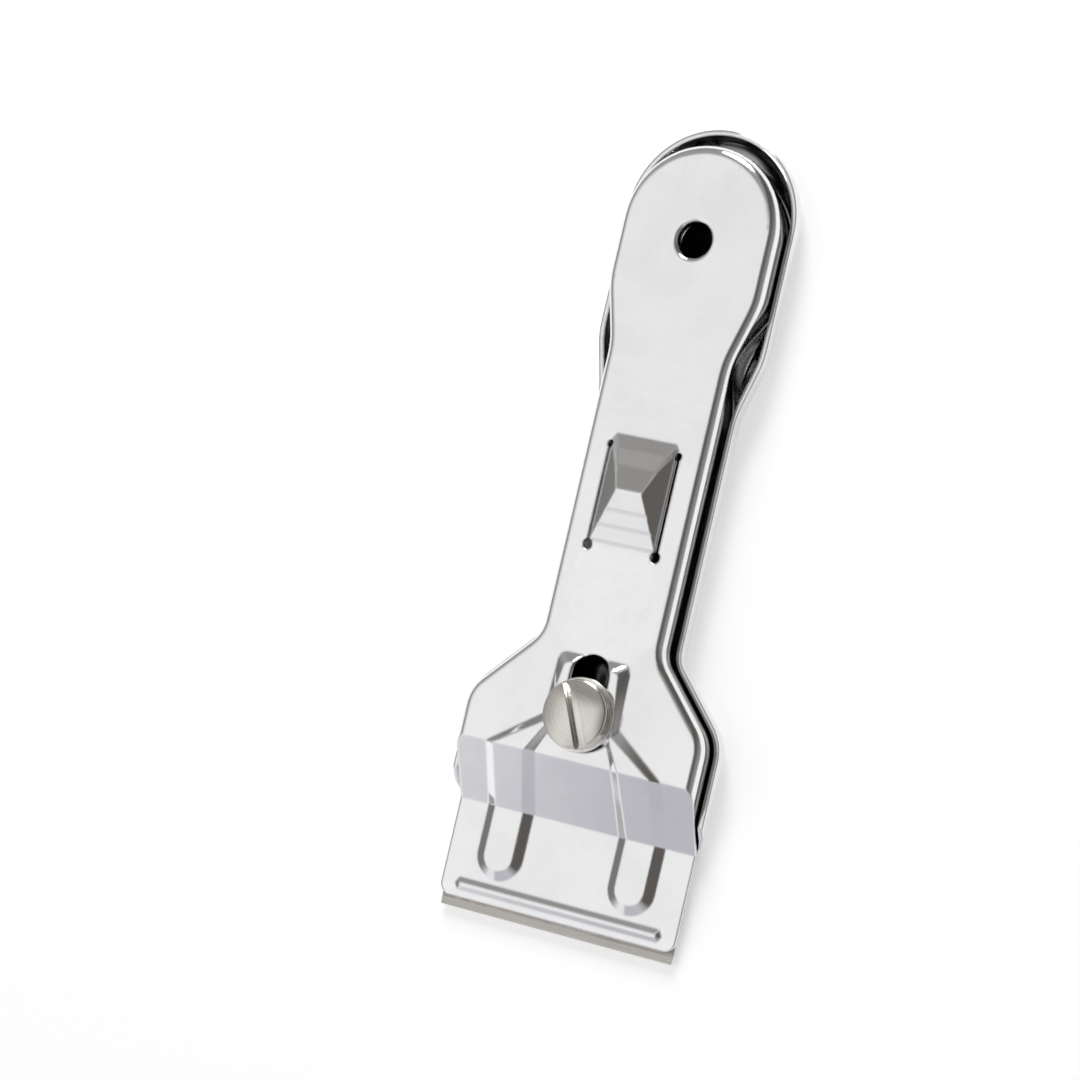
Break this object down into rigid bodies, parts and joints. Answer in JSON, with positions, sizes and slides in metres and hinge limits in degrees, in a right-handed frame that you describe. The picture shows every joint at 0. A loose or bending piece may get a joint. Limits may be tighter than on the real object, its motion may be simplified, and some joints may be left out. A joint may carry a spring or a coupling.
{
  "type": "algae scraper",
  "caption": "Pressed steel hand scraper with a replaceable blade, a sliding guard cover over a tray-shaped base, a thumb grip, and a slotted clamp screw.",
  "frame": {"origin": "middle of the tool's length and width, on the back of the base", "axes": "+Y along the tool from the blade's cutting edge to the hanging end, +Z out of the cover's face, +X to the right when the face is seen with the blade at the bottom"},
  "size_m": [0.043, 0.126, 0.0122],
  "materials": {
    "base_plate": "bright plated pressed steel, slightly scuffed",
    "cover_plate": "bright plated pressed steel, polished",
    "blade_steel": "ground carbon steel with an oil film",
    "rivet_steel": "plain turned steel",
    "bush_steel": "plain turned steel",
    "screw_nickel": "satin nickel plate with turning marks"
  },
  "bodies": {
    "base": {"base_shell": "base_plate", "blade": "blade_steel", "blade_lug_left": "rivet_steel", "blade_lug_right": "rivet_steel", "clamp_bush": "bush_steel"},
    "cover": {"sliding_cover": "cover_plate"},
    "washer": {"clamp_washer": "screw_nickel"},
    "screw": {"clamp_screw": "screw_nickel"}
  },
  "joints": [
    {"name": "cover_slide", "type": "slide", "parent": "base", "child": "cover", "axis": [0, -1, 0], "range_m": [0, 0.006]},
    {"name": "clamp_lift", "type": "slide", "parent": "base", "child": "washer", "axis": [0, 0, 1], "range_m": [0, 0.0008]},
    {"name": "screw_turn", "type": "hinge", "parent": "washer", "child": "screw", "pos_m": [0, -0.02945, 0.0105], "axis": [0, 0, 1], "range_deg": [0, 360]}
  ],
  "couplings": [
    {"joint": "screw_turn", "follows": "clamp_lift", "rad_per_m": 7854}
  ]
}
